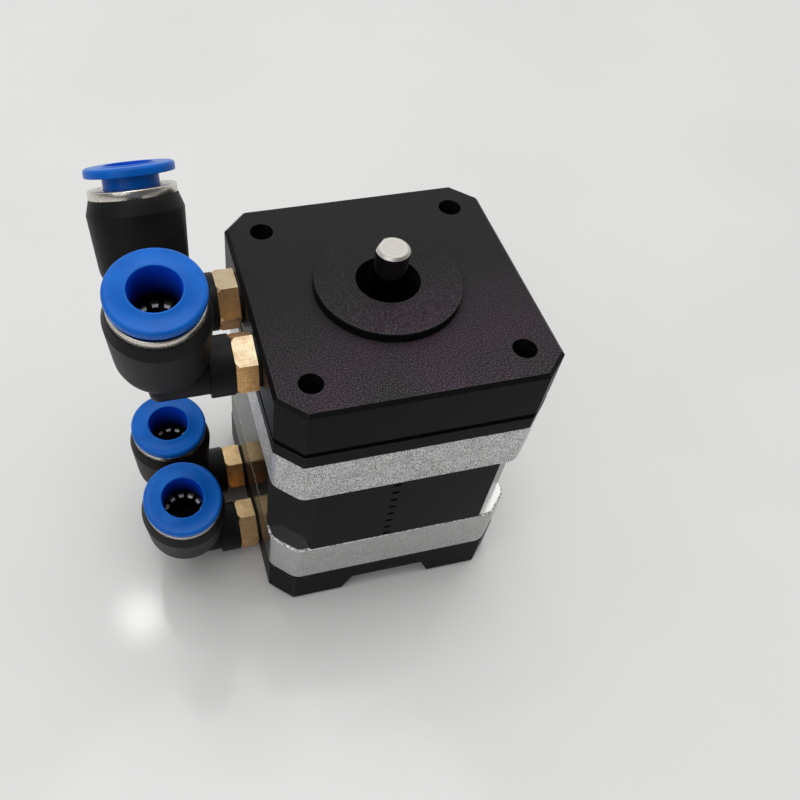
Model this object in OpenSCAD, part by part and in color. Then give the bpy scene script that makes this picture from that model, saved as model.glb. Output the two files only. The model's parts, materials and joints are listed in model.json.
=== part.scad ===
// Size 17 hybrid stepper motor with a water-cooling block at each end.
// Origin: centre of the front mounting face, on the shaft axis.
// +Z runs outward along the shaft, and the tube elbows are on the -X side.

/* [Frame] */
// Outer width of the square frame
frame_w = 42; // [41.6:0.1:42.4]
// Distance from the frame's side to each mounting screw's axis
hole_inset = 5.5; // [5.4:0.05:5.7]
// Diameter of the mounting holes through the front block
mount_hole_d = 3.6; // [3.2:0.1:3.8]
// Leg of the 45 degree corner chamfer on the cooling blocks
block_corner = 3.7; // [3:0.1:4.2]
// Leg of the corner chamfer on the two cast bells
bell_corner = 3.8; // [3.4:0.1:5]
// Blend radius where a bell's chamfer meets its flats
bell_blend = 2.5; // [1:0.25:3]
// Leg of the corner chamfer on the stator laminations
stator_corner = 6.2; // [5.4:0.1:6.8]

/* [Cooling blocks] */
// Thickness of the front block
front_block_t = 8.4; // [8:0.1:10]
// Thickness of the front gasket, seen as a dark groove
front_gasket_t = 1.2; // [0.6:0.1:2]
// How far the front gasket stands back from the edge
gasket_setback = 0.6; // [0.3:0.1:1]
// Thickness of the plate that closes the front water channel
cover_t = 2.4; // [2.2:0.1:3]
// Thickness of the rear gasket
rear_gasket_t = 0.4; // [0.3:0.1:1]
// Thickness of the rear block
rear_block_t = 8; // [8:0.1:10]
// Bevel round the outer edge of each block
edge_break = 0.6; // [0.3:0.1:0.9]
// Diameter of the pilot boss on the mounting face
pilot_d = 22; // [21:0.5:23]
// Height of the pilot boss
pilot_h = 1.6; // [1.3:0.1:2.5]
// Bevel round the top of the pilot boss
pilot_bevel = 0.15; // [0.1:0.05:0.6]
// Diameter of the shaft opening in the pilot boss
shaft_hole_d = 9.6; // [9:0.2:12]
// Wall between the bore for the bell's spigot and the water channel
channel_inner_wall = 1.35; // [1:0.05:1.6]
// Wall between the water channel and the mounting holes
channel_outer_wall = 2.6; // [2.4:0.1:3.4]
// Depth of the front water channel
front_channel_depth = 3.4; // [3:0.1:4]
// Depth of the rear water channel
rear_channel_depth = 2.4; // [2:0.1:2.5]
// Width of the wall that parts the channel's two ends
channel_wall = 7; // [5:0.5:7.5]
// Width of the foot arch at its top
arch_top_w = 13; // [10:0.5:14]
// Width of the foot arch at the standing face
arch_foot_w = 17; // [15:0.5:18]
// Height of the foot arch
arch_h = 4.2; // [4.1:0.05:4.4]

/* [Motor] */
// Height of the front bell
front_bell_h = 8.7; // [8.5:0.1:10]
// Height of the lamination stack
stator_h = 16; // [14:1:24]
// Height of the rear bell
rear_bell_h = 9.3; // [9.1:0.1:11]
// Wall of the bells at the middle of each side
bell_wall = 2.5; // [2.2:0.1:2.8]
// Thickness of each bell's end web
bell_web = 2.5; // [2.2:0.1:2.8]
// Height of the bell's own spigot inside the cover plate
spigot_h = 2; // [1.5:0.1:2]
// Radial clearance round that spigot
spigot_play = 0.15; // [0.1:0.05:0.3]
// Thickness of the stator's back iron at the middle of each side
yoke_t = 2.8; // [2.6:0.1:3.1]
// Radial room for the windings, from the pole shoes to the back iron
winding_room = 3.85; // [3.6:0.05:3.95]
// Width of a stator pole's neck
pole_neck_w = 4.2; // [3.8:0.2:4.6]
// Radial thickness of a pole shoe
shoe_t = 1.6; // [1.4:0.1:1.8]
// Radial depth of the small stator and rotor teeth
tooth_depth = 0.5; // [0.4:0.05:0.6]
// Air gap between rotor and stator teeth
air_gap = 0.2; // [0.15:0.05:0.3]
// Number of teeth round the rotor
rotor_teeth = 50; // [48:1:51]
// Thickness of the magnet disc between the rotor's two cups
magnet_t = 1.6; // [1.2:0.1:3]
// How far the magnet disc stays inside the roots of the cups' teeth
magnet_inset = 0.45; // [0.25:0.05:1.5]
// Outer thickness of a winding on each side of its pole
winding_t = 1.5; // [1:0.1:1.7]
// Height of the winding's turn beyond the end of the stack
winding_end_h = 2.2; // [1.8:0.1:2.4]
// Thickness of the plastic bobbins
bobbin_t = 0.7; // [0.5:0.1:0.9]
// Gap between the bobbins' outer rims and the bells
bobbin_play = 0.3; // [0.2:0.05:0.4]
// Gap round the windings on their bobbins
winding_play = 0.15; // [0.1:0.05:0.2]
// Height of the bobbin's rims over the stack's end
bobbin_rim_h = 3.1; // [2.9:0.1:3.3]
// Number of side notches down the lamination stack
notch_count = 8; // [4:1:8]
// Width of a side notch
notch_w = 1.1; // [0.8:0.1:1.5]
// Height of a side notch
notch_h = 0.6; // [0.4:0.1:0.8]
// Depth of a side notch
notch_depth = 0.3; // [0.2:0.1:0.5]
// Sideways place of the notch column
notch_x = -2; // [-4:0.5:4]

/* [Shaft and bearings] */
// Shaft diameter
shaft_d = 5; // [4.9:0.05:5]
// Shaft length beyond the mounting face
shaft_out = 7.6; // [6:0.2:20]
// Depth of the flat on the shaft
flat_depth = 0.5; // [0.3:0.1:0.6]
// Length of the flat
flat_len = 9.5; // [6:0.5:9.5]
// Bevel on the shaft's end
shaft_bevel = 0.35; // [0.2:0.05:0.5]
// Width of the grinding relief beside the front bearing
relief_w = 0.8; // [0.6:0.1:1]
// Depth of that relief
relief_depth = 0.2; // [0.1:0.05:0.3]
// Outer diameter of both ball bearings
bearing_od = 16; // [15.6:0.2:16]
// Width of both ball bearings
bearing_w = 5; // [4.6:0.1:5]
// Thickness of the bearing rings
race_t = 1.4; // [1.2:0.1:1.5]
// Diameter of the bearing balls
ball_d = 3.1; // [2.9:0.1:3.2]
// Number of balls in a bearing
ball_count = 8; // [6:1:8]
// Running gap round each ball
ball_gap = 0.03; // [0.02:0.01:0.05]
// Wall of the bearing housings in the bells
housing_wall = 2; // [1.5:0.1:2.4]
// Assembly gap round parts that are pressed or glued in place
seat_gap = 0.02; // [0.01:0.01:0.05]
// Thickness of the wave washer's spring strip
wave_t = 0.25; // [0.2:0.05:0.3]
// Height of the wave washer's three waves
wave_h = 0.2; // [0.1:0.05:0.25]

/* [Fasteners and connector] */
// Thread diameter of the long body screws
screw_d = 3; // [2.8:0.1:3]
// Head diameter of the body screws
screw_head_d = 5.5; // [5:0.1:5.5]
// Head height of the body screws
screw_head_h = 3; // [2.5:0.1:3]
// Hexagon socket across the flats
screw_socket = 2.5; // [2:0.1:2.6]
// Radial clearance round screw shanks and heads
screw_play = 0.2; // [0.15:0.05:0.3]
// Depth of thread left free behind the mounting holes
free_thread = 4.5; // [3:0.5:5]
// Width of the connector socket
socket_w = 14.6; // [12:0.2:16]
// Height of the connector socket
socket_h = 5.6; // [5:0.1:6]
// How far the connector socket stands out
socket_out = 4; // [2:0.5:6]
// Wall of the connector socket
socket_wall = 0.7; // [0.5:0.1:1]
// Number of connector pins
pin_count = 6; // [4:1:6]
// Distance between connector pins
pin_pitch = 2; // [1.5:0.1:2]

/* [Tube fittings] */
// Distance between the two ports of a block
port_pitch = 12.7; // [12.7:0.1:13.4]
// Height of the rear ports over the standing face
rear_port_z = 4.7; // [4.65:0.05:4.9]
// Thread diameter of the brass studs
stud_thread_d = 4.96; // [4.8:0.02:4.96]
// Length of the stud's thread in the block
stud_thread_l = 5; // [4:0.5:5.5]
// Width of the stud's hexagon across the flats
hex_af = 8; // [7.6:0.1:8]
// Length of the stud's hexagon
hex_l = 3.2; // [3:0.1:4]
// Thickness of the sealing washer under the hexagon
port_washer_t = 0.4; // [0.3:0.1:0.6]
// Diameter of the stud's spigot inside the elbow
spigot_d = 5.6; // [5.2:0.1:5.6]
// Water passage through the stud
stud_bore_d = 2.6; // [2:0.1:2.8]
// Distance from the block's side to the elbow's upright axis
leg_offset = 13.1; // [12.9:0.1:14]
// Radius of the elbow's level leg
level_leg_r = 3.75; // [3.7:0.05:3.9]
// How far the level leg reaches past the upright axis
leg_end = 2.6; // [2.4:0.1:3.2]
// Rounding of that end
leg_round = 1.4; // [1:0.1:1.5]
// Radius of the collar beside the hexagon
collar_r = 4.4; // [4.2:0.05:4.4]
// Length of that collar
collar_l = 3.4; // [2:0.2:4]
// Height from the stud's axis to the top of the plastic body
body_h = 16.6; // [16:0.1:18]
// Largest radius of the upright body
body_r = 7; // [6.8:0.05:7.05]
// Radius of the upright body at its foot
foot_r = 6.55; // [6.2:0.05:6.6]
// Radius of the rounding under the upright body
foot_blend = 4.65; // [4:0.05:4.7]
// Height of the upright body's foot over the stud's axis
foot_rise = 2.7; // [2:0.1:2.8]
// Height of the conical shoulder under the nickel ring
shoulder_h = 2; // [1.5:0.1:2.5]
// Radius of the nickel ring
ring_r = 6.3; // [6.1:0.05:6.35]
// Height of the nickel ring over the body
ring_h = 1.3; // [1:0.1:1.5]
// Outer radius of the ring's skirt in the body
skirt_r = 4.95; // [4.9:0.05:5]
// Depth of the skirt in the body
skirt_l = 3.9; // [3.7:0.1:4]
// Radius of the release collet's flange
flange_r = 6.4; // [6:0.05:6.4]
// Thickness of that flange
flange_t = 1.4; // [1.2:0.1:1.6]
// Outer radius of the collet's neck
neck_r = 4; // [3.95:0.05:4]
// Bore radius of the collet
collet_bore_r = 3.2; // [3.1:0.05:3.3]
// Rounding of the collet's bore
collet_round = 0.45; // [0.3:0.05:0.5]
// Rounding of the upper edge of the collet's flange
rim_round = 0.8; // [0.4:0.05:0.9]
// Length of the collet below its flange
neck_l = 5.1; // [5:0.1:5.2]
// Travel of the collet between pressed and free
collet_travel = 1.8; // [1.6:0.1:1.8]
// Sliding gap round the collet
slide_gap = 0.05; // [0.03:0.01:0.08]
// Thickness of the steel grip claw
claw_t = 0.3; // [0.2:0.05:0.3]
// Number of teeth on the grip claw
claw_teeth = 12; // [8:1:12]
// Width of the slots between those teeth
claw_slot_w = 0.6; // [0.4:0.1:0.8]
// How far the teeth and the seal reach inside the tube's radius
tube_bite = 0.25; // [0.2:0.05:0.3]
// Height of the rubber tube seal
seal_h = 2.6; // [2:0.1:2.8]
// Diameter of the tube that the fitting takes
tube_d = 6; // [5.9:0.1:6.1]
// Depth of the tube's stop over the stud's axis
tube_stop_h = 5.4; // [5:0.1:6]
// Water passage under the tube's stop
passage_r = 2; // [1.8:0.1:2.2]

/* [Fitting positions] */
// Lean of the front inlet elbow towards -Y in degrees
front_inlet_lean = 10; // [0:1:60]
// Lean of the front outlet elbow
front_outlet_lean = -32; // [-60:1:-4]
// Lean of the rear inlet elbow
rear_inlet_lean = 12; // [11.5:0.5:60]
// Lean of the rear outlet elbow
rear_outlet_lean = 4; // [-60:0.5:4.5]
// Gap under the front inlet collet
front_inlet_gap = 0.9; // [0.1:0.1:1.9]
// Gap under the front outlet collet
front_outlet_gap = 1.7; // [0.1:0.1:1.9]
// Gap under the rear inlet collet
rear_inlet_gap = 0.5; // [0.1:0.1:1.9]
// Gap under the rear outlet collet
rear_outlet_gap = 0.1; // [0.1:0.1:1.9]
// Turn of the front inlet hexagon
front_inlet_hex = 50; // [0:1:60]
// Turn of the front outlet hexagon
front_outlet_hex = 25; // [0:1:60]
// Turn of the rear inlet hexagon
rear_inlet_hex = 16; // [0:1:60]
// Turn of the rear outlet hexagon
rear_outlet_hex = 28; // [0:1:60]

/* [Hidden] */
$fn = 96;
half_w = frame_w / 2;
hole_xy = half_w - hole_inset;
z_gasket = -front_block_t;
z_cover = z_gasket - front_gasket_t;
z_bell = z_cover - cover_t;
z_stator = z_bell - front_bell_h;
z_rear_bell = z_stator - stator_h;
z_rear_gasket = z_rear_bell - rear_bell_h;
z_rear_block = z_rear_gasket - rear_gasket_t;
z_base = z_rear_block - rear_block_t;
channel_inner_r = pilot_d / 2 + spigot_play + channel_inner_wall;
channel_outer_r = hole_xy * sqrt(2) - mount_hole_d / 2 - channel_outer_wall;
bell_cavity_r = half_w - bell_wall;
bobbin_r = bell_cavity_r - bobbin_play;
yoke_r = half_w - yoke_t;
stator_bore_r = yoke_r - winding_room - shoe_t;
bearing_r = bearing_od / 2;
bearing_shoulder = 1.2;
z_front_bearing = z_bell - bearing_shoulder;
rear_pocket_floor = 0.8;
z_rear_washer = z_rear_gasket + rear_pocket_floor;
z_rear_bearing = z_rear_washer + wave_t + wave_h + seat_gap;
rotor_cup_h = (stator_h - magnet_t) / 2;
rotor_r = stator_bore_r - air_gap;
magnet_r = rotor_r - tooth_depth - magnet_inset;
tooth_pitch = 360 / rotor_teeth;
pole_half = 2.25 * tooth_pitch;
shaft_r = shaft_d / 2;
shaft_end_z = z_rear_washer + 0.3;
port_y = port_pitch / 2;
front_port_z = -front_block_t / 2;
rear_port_axis_z = z_base + rear_port_z;
hex_x0 = -half_w - port_washer_t;
leg_x = -half_w - leg_offset;
level_leg_l = leg_offset - port_washer_t - hex_l - 0.1;
spigot_end = 3;
ring_top = body_h + ring_h;
skirt_bottom = body_h - skirt_l;
socket_back_y = bobbin_r + 0.25;
claw_top = skirt_bottom;
seal_top = claw_top - claw_t;
body_bore_h = seal_top - seal_h;
tube_r = tube_d / 2;
// Each port holds its y, its z, the elbow's lean, the collet's gap and the hexagon's turn.
front_inlet = [-port_y, front_port_z, front_inlet_lean, front_inlet_gap, front_inlet_hex];
front_outlet = [port_y, front_port_z, front_outlet_lean, front_outlet_gap, front_outlet_hex];
rear_inlet = [-port_y, rear_port_axis_z, rear_inlet_lean, rear_inlet_gap, rear_inlet_hex];
rear_outlet = [port_y, rear_port_axis_z, rear_outlet_lean, rear_outlet_gap, rear_outlet_hex];

anodised = [0.16, 0.15, 0.16];
cast_silver = [0.66, 0.66, 0.67];
lamination = [0.11, 0.11, 0.11];
brass = [0.80, 0.64, 0.38];
nickel = [0.68, 0.66, 0.63];
steel = [0.74, 0.74, 0.75];
black_plastic = [0.09, 0.09, 0.10];
collet_blue = [0.08, 0.36, 0.78];
rubber_black = [0.05, 0.05, 0.05];
copper = [0.72, 0.38, 0.20];
bobbin_white = [0.86, 0.85, 0.80];

// Points of an arc, from angle a to angle b in n steps
function arc(c, r, a, b, n = 8) =
    [for (i = [0 : n]) let (t = a + (b - a) * i / n) c + r * [cos(t), sin(t)]];

// Corners of a square with its corners cut at 45 degrees
function cut_square(w, cut) = let (h = w / 2, k = w / 2 - cut)
    [[h, -k], [h, k], [k, h], [-k, h], [-h, k], [-h, -k], [-k, -h], [k, -h]];

// The same outline with each corner blended by radius r
function blended(p, r) = [
    for (i = [0 : len(p) - 1])
        let (a = p[(i + len(p) - 1) % len(p)], b = p[i], c = p[(i + 1) % len(p)],
             u = (a - b) / norm(a - b), v = (c - b) / norm(c - b),
             m = (u + v) / norm(u + v), k = sqrt((1 - u * v) / 2),
             o = b + m * r / k, start = atan2(u[0], -u[1]), turn = 180 - acos(u * v))
        each arc(o, r, start, start + turn, 4)
];

module at_holes() {
    for (x = [-1, 1], y = [-1, 1]) translate([x * hole_xy, y * hole_xy, 0]) children();
}

module hole(r, z0, z1) {
    translate([0, 0, z0]) cylinder(r = r, h = z1 - z0);
}

module ring(outer, inner, h) {
    rotate_extrude() translate([inner, 0]) square([outer - inner, h]);
}

module slab(z, t, cut = block_corner, inset = 0) {
    translate([0, 0, z - t]) linear_extrude(t)
        polygon(cut_square(frame_w - 2 * inset, cut - inset * 0.6));
}

// Cuts a 45 degree bevel along the eight edges of a block's outer face.
// With up = 1 the face looks up, and with up = -1 it looks down.
module bevel_cuts(z, up) {
    flat = half_w;
    slant = (2 * half_w - block_corner) / sqrt(2);
    bar = 3;
    reach = (bar / 2 - edge_break / sqrt(2)) / sqrt(2);
    for (i = [0 : 7]) rotate(45 * i)
        translate([(i % 2 == 0 ? flat : slant) + reach, 0, z + up * reach])
            rotate([0, 45, 0]) cube([bar, frame_w, bar], center = true);
}

// Horseshoe water channel, with a wall on the -X side between its two ends
module water_channel(z, depth) {
    difference() {
        translate([0, 0, z])
            ring(channel_outer_r, channel_inner_r, depth);
        translate([-half_w, -channel_wall / 2, z - 1]) cube([half_w, channel_wall, depth + 2]);
    }
}

module port_bores(z) {
    for (s = [-1, 1]) translate([-half_w - 1, s * port_y, z])
        rotate([0, 90, 0]) cylinder(r = stud_thread_d / 2 + seat_gap, h = 1 + stud_thread_l + 2.4);
}

module front_cooling_block() {
    color(anodised) difference() {
        union() {
            difference() {
                slab(0, front_block_t);
                bevel_cuts(0, 1);
            }
            translate([0, 0, -1]) cylinder(r = pilot_d / 2, h = 1 + pilot_h - pilot_bevel);
            translate([0, 0, pilot_h - pilot_bevel])
                cylinder(r1 = pilot_d / 2, r2 = pilot_d / 2 - pilot_bevel, h = pilot_bevel);
        }
        hole(shaft_hole_d / 2, z_gasket - 1, pilot_h + 1);
        at_holes() hole(mount_hole_d / 2, z_gasket - 1, 1);
        water_channel(z_gasket - 1, front_channel_depth + 1);
        port_bores(front_port_z);
    }
}

module front_channel_gasket() {
    color(rubber_black) difference() {
        slab(z_gasket, front_gasket_t, block_corner, gasket_setback);
        hole(pilot_d / 2 + spigot_play, z_cover - 1, z_gasket + 1);
        at_holes() hole(mount_hole_d / 2, z_cover - 1, z_gasket + 1);
    }
}

module front_cover_plate() {
    color(anodised) difference() {
        slab(z_cover, cover_t);
        hole(pilot_d / 2 + spigot_play, z_bell - 1, z_cover + 1);
        at_holes() hole(mount_hole_d / 2, z_bell - 1, z_cover + 1);
    }
}

module bell_blank(z, h) {
    translate([0, 0, z - h]) linear_extrude(h)
        polygon(blended(cut_square(frame_w, bell_corner), bell_blend));
}

module front_bell() {
    depth = front_bell_h - bell_web;
    color(cast_silver) difference() {
        union() {
            difference() {
                bell_blank(z_bell, front_bell_h);
                hole(bell_cavity_r, z_stator - 1, z_stator + depth);
            }
            hole(pilot_d / 2, z_bell - 1, z_bell + spigot_h);
            hole(bearing_r + housing_wall, z_front_bearing - bearing_w, z_bell - 1);
        }
        hole(bearing_r + seat_gap, z_stator - 1, z_front_bearing);
        hole(shaft_hole_d / 2, z_front_bearing - 1, z_bell + spigot_h + 1);
        at_holes() hole(screw_d / 2 + seat_gap, z_stator - 1, z_bell + 1);
    }
}

// One pole seen along the shaft, with its neck along +X and five teeth at the bore
function pole_outline() = let (
        shoe_r = stator_bore_r + shoe_t, root_r = stator_bore_r + tooth_depth, half = pole_half,
        n = pole_neck_w / 2, s = asin(n / shoe_r), e = asin(n / (yoke_r + 0.5)))
    concat(
        [for (i = [0 : 4], a = [[0, 0], [0, 1], [1, 1], [1, 0]])
            let (t = -half + i * tooth_pitch + a[0] * tooth_pitch / 2,
                 r = a[1] == 1 ? stator_bore_r : root_r)
            if (!((i == 0 && a == [0, 0]) || (i == 4 && a == [1, 0])))
                r * [cos(t), sin(t)]],
        arc([0, 0], shoe_r, half, s, 4),
        [(yoke_r + 0.5) * [cos(e), sin(e)], (yoke_r + 0.5) * [cos(e), -sin(e)]],
        arc([0, 0], shoe_r, -s, -half, 4));

module stator_stack() {
    step = (stator_h - 1.3) / (notch_count - 1);
    color(lamination) difference() {
        translate([0, 0, z_rear_bell]) union() {
            difference() {
                linear_extrude(stator_h) polygon(cut_square(frame_w, stator_corner));
                hole(yoke_r, -1, stator_h + 1);
            }
            for (i = [0 : 7]) rotate(45 * i) linear_extrude(stator_h) polygon(pole_outline());
        }
        at_holes() hole(screw_d / 2 + screw_play, z_rear_bell - 1, z_stator + 1);
        for (i = [0 : notch_count - 1])
            translate([notch_x - notch_w / 2, -half_w - 1, z_stator - 0.65 - i * step - notch_h / 2])
                cube([notch_w, 1 + notch_depth, notch_h]);
    }
}

// Bobbin of one end: a rim inside the back iron, a rim behind each pole shoe
// and an arm over each neck. It lies on z = 0 and rises along +Z.
module bobbin() {
    shoe_r = stator_bore_r + shoe_t;
    arm_w = pole_neck_w;
    half = pole_half - 1.2;
    color(bobbin_white) union() {
        ring(bobbin_r, bobbin_r - bobbin_t, bobbin_rim_h);
        for (i = [0 : 7]) rotate(45 * i) {
            translate([shoe_r - 0.3, -arm_w / 2, 0]) cube([bobbin_r - shoe_r, arm_w, bobbin_t]);
            linear_extrude(bobbin_rim_h) polygon(concat(
                arc([0, 0], shoe_r, -half, half, 6), arc([0, 0], shoe_r - bobbin_t, half, -half, 6)));
        }
    }
}

module front_bobbin() { translate([0, 0, z_stator]) bobbin(); }
module rear_bobbin() { translate([0, 0, z_rear_bell]) mirror([0, 0, 1]) bobbin(); }

// One winding round a neck on +X, with rounded turns at both ends
module winding() {
    r0 = stator_bore_r + shoe_t + winding_play;
    reach = min(yoke_r, bobbin_r - bobbin_t) - winding_play;
    inner_w = pole_neck_w + 0.2;
    inner_h = stator_h + 2 * bobbin_t + 0.1;
    outer_w = inner_w + 2 * winding_t;
    depth = sqrt(pow(reach, 2) - pow(outer_w / 2, 2)) - r0;
    outer_h = stator_h + 2 * winding_end_h + 0.4;
    turn = 1.2;
    translate([r0, 0, (z_stator + z_rear_bell) / 2]) rotate([90, 0, 90]) linear_extrude(depth)
        difference() {
            union() {
                square([outer_w, outer_h - 2 * turn], center = true);
                square([outer_w - 2 * turn, outer_h], center = true);
                for (x = [-1, 1], y = [-1, 1])
                    translate([x * (outer_w / 2 - turn), y * (outer_h / 2 - turn)])
                        circle(r = turn, $fn = 32);
            }
            square([inner_w, inner_h], center = true);
        }
}

module coils(first) {
    color(copper) for (i = [0 : 3]) rotate(90 * i + 45 * first) winding();
}

module phase_a_coils() { coils(0); }
module phase_b_coils() { coils(1); }

module rear_bell() {
    depth = rear_bell_h - bell_web;
    pocket_top = z_rear_bearing + bearing_w;
    color(cast_silver) difference() {
        union() {
            difference() {
                bell_blank(z_rear_bell, rear_bell_h);
                hole(bell_cavity_r, z_rear_bell - depth, z_rear_bell + 1);
            }
            hole(bearing_r + housing_wall, z_rear_gasket + 1, pocket_top);
        }
        hole(bearing_r + seat_gap, z_rear_washer, z_rear_bell + 1);
        at_holes() hole(screw_d / 2 + screw_play, z_rear_gasket - 1, z_rear_bell + 1);
        translate([-socket_w / 2 - seat_gap, bell_cavity_r - 2, z_rear_bell - socket_h - 0.6])
            cube([socket_w + 2 * seat_gap, bell_wall + 3, socket_h + 2 * seat_gap]);
    }
}

module rear_channel_gasket() {
    color(rubber_black) difference() {
        slab(z_rear_gasket, rear_gasket_t, block_corner, gasket_setback);
        at_holes() hole(screw_d / 2 + screw_play, z_rear_block - 1, z_rear_gasket + 1);
    }
}

module rear_cooling_block() {
    color(anodised) difference() {
        slab(z_rear_block, rear_block_t);
        bevel_cuts(z_base, -1);
        water_channel(z_rear_block - rear_channel_depth, rear_channel_depth + 1);
        port_bores(rear_port_axis_z);
        at_holes() {
            hole(screw_d / 2 + screw_play, z_base - 1, z_rear_block + 1);
            hole(screw_head_d / 2 + screw_play, z_base - 1, z_base + screw_head_h + 0.2);
        }
        translate([0, half_w + 1, z_base]) rotate([90, 0, 0]) linear_extrude(frame_w + 2)
            polygon([[-arch_foot_w / 2, -1], [arch_foot_w / 2, -1], [arch_foot_w / 2, 0],
                [arch_top_w / 2, arch_h], [-arch_top_w / 2, arch_h], [-arch_foot_w / 2, 0]]);
    }
}

// Ball bearing, seen from its lower face at z = 0
pitch_r = (bearing_r + shaft_r) / 2;
groove_r = ball_d / 2 + ball_gap;

module ball_groove() {
    translate([0, 0, bearing_w / 2]) rotate_extrude() translate([pitch_r, 0]) circle(r = groove_r);
}

module outer_ring(z) {
    color(steel) translate([0, 0, z]) difference() {
        ring(bearing_r, bearing_r - race_t, bearing_w);
        ball_groove();
    }
}

module inner_ring(z) {
    color(steel) translate([0, 0, z]) difference() {
        ring(shaft_r + race_t, shaft_r + seat_gap, bearing_w);
        ball_groove();
    }
}

module balls(z) {
    color(steel) for (i = [0 : ball_count - 1]) rotate(360 * i / ball_count)
        translate([pitch_r, 0, z + bearing_w / 2]) sphere(r = ball_d / 2, $fn = 24);
}

module front_bearing_outer_ring() { outer_ring(z_front_bearing - bearing_w); }
module front_bearing_inner_ring() { inner_ring(z_front_bearing - bearing_w); }
module front_bearing_balls() { balls(z_front_bearing - bearing_w); }
module rear_bearing_outer_ring() { outer_ring(z_rear_bearing); }
module rear_bearing_inner_ring() { inner_ring(z_rear_bearing); }
module rear_bearing_balls() { balls(z_rear_bearing); }

// Spring strip bent into three waves, which preloads the rear bearing
module wave_washer() {
    n = 48;
    outer = bearing_r - 0.2;
    inner = bearing_r - race_t + 0.2;
    function lift(i) = wave_h * (1 - cos(3 * 360 * i / n)) / 2;
    function spot(i, r, up) = let (t = 360 * i / n) [r * cos(t), r * sin(t), lift(i) + up];
    pts = [for (i = [0 : n - 1]) each
        [spot(i, inner, 0), spot(i, outer, 0), spot(i, outer, wave_t), spot(i, inner, wave_t)]];
    color(steel) translate([0, 0, z_rear_washer]) polyhedron(pts,
        [for (i = [0 : n - 1], k = [0 : 3]) let (j = (i + 1) % n, m = (k + 1) % 4)
            each [[4 * i + k, 4 * j + k, 4 * j + m], [4 * i + k, 4 * j + m, 4 * i + m]]]);
}

module body_screws() {
    tip = z_bell - free_thread;
    under_head = z_base + screw_head_h + 0.2;
    color(steel) at_holes() difference() {
        union() {
            hole(screw_d / 2, under_head - 0.1, tip);
            hole(screw_head_d / 2, under_head - screw_head_h, under_head);
        }
        translate([0, 0, under_head - screw_head_h - 1])
            cylinder(r = screw_socket / sqrt(3), h = 1 + screw_head_h * 0.55, $fn = 6);
    }
}

module motor_shaft() {
    body_top = shaft_out - shaft_bevel;
    color(steel) difference() {
        union() {
            hole(shaft_r, shaft_end_z, body_top);
            translate([0, 0, body_top])
                cylinder(r1 = shaft_r, r2 = shaft_r - shaft_bevel, h = shaft_bevel);
        }
        translate([0, 0, z_front_bearing + 0.1])
            ring(shaft_r + 1, shaft_r - relief_depth, relief_w);
        rotate(135) translate([shaft_r - flat_depth, -shaft_r, shaft_out - flat_len])
            cube([shaft_d, shaft_d, flat_len + 1]);
    }
}

// Toothed soft-iron cup of the rotor, standing on z = 0
module rotor_cup(turn) {
    root = rotor_r - tooth_depth;
    color(steel) difference() {
        rotate(turn) linear_extrude(rotor_cup_h) polygon([
            for (i = [0 : rotor_teeth - 1], k = [[-0.25, 1], [0.25, 1], [0.25, 0], [0.75, 0]])
                let (t = (i + k[0]) * tooth_pitch, r = k[1] == 1 ? rotor_r : root)
                r * [cos(t), sin(t)]]);
        hole(shaft_r + seat_gap, -1, rotor_cup_h + 1);
    }
}

module front_rotor_cup() { translate([0, 0, z_stator - rotor_cup_h]) rotor_cup(0); }
module rear_rotor_cup() { translate([0, 0, z_rear_bell]) rotor_cup(tooth_pitch / 2); }

module rotor_magnet() {
    color(steel) translate([0, 0, z_rear_bell + rotor_cup_h])
        ring(magnet_r, shaft_r + seat_gap, magnet_t);
}

module front_spacer() {
    color(brass) translate([0, 0, z_stator])
        ring(shaft_r + race_t, shaft_r + seat_gap, z_front_bearing - bearing_w - z_stator);
}

module rear_spacer() {
    top = z_rear_bell;
    bottom = z_rear_bearing + bearing_w;
    color(brass) translate([0, 0, bottom])
        ring(shaft_r + race_t, shaft_r + seat_gap, top - bottom);
}

// Lead socket in the rear bell's +Y wall, open outward
module connector_socket() {
    y0 = socket_back_y;
    length = half_w + socket_out - y0;
    z0 = z_rear_bell - socket_h - 0.6 + seat_gap;
    back = 1.4;
    color(bobbin_white) difference() {
        translate([-socket_w / 2, y0, z0]) cube([socket_w, length, socket_h]);
        translate([-socket_w / 2 + socket_wall, y0 + back, z0 + socket_wall])
            cube([socket_w - 2 * socket_wall, length, socket_h - 2 * socket_wall]);
        for (i = [0 : pin_count - 1])
            translate([(i - (pin_count - 1) / 2) * pin_pitch, y0 - 1, z0 + socket_h / 2])
                rotate([-90, 0, 0]) cylinder(r = 0.3 + seat_gap, h = back + 2, $fn = 24);
    }
}

module connector_pins() {
    y0 = socket_back_y - 0.1;
    length = half_w + socket_out - 1 - y0;
    z0 = z_rear_bell - socket_h - 0.6 + seat_gap;
    color(brass) for (i = [0 : pin_count - 1])
        translate([(i - (pin_count - 1) / 2) * pin_pitch, y0, z0 + socket_h / 2])
            rotate([-90, 0, 0]) cylinder(r = 0.3, h = length, $fn = 24);
}

module port_seal_washers() {
    color(rubber_black) for (p = [front_inlet, front_outlet, rear_inlet, rear_outlet])
        translate([-half_w - port_washer_t, p[0], p[1]]) rotate([0, 90, 0])
            ring(hex_af / 2 - 0.2, stud_thread_d / 2 + seat_gap, port_washer_t);
}

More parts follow.
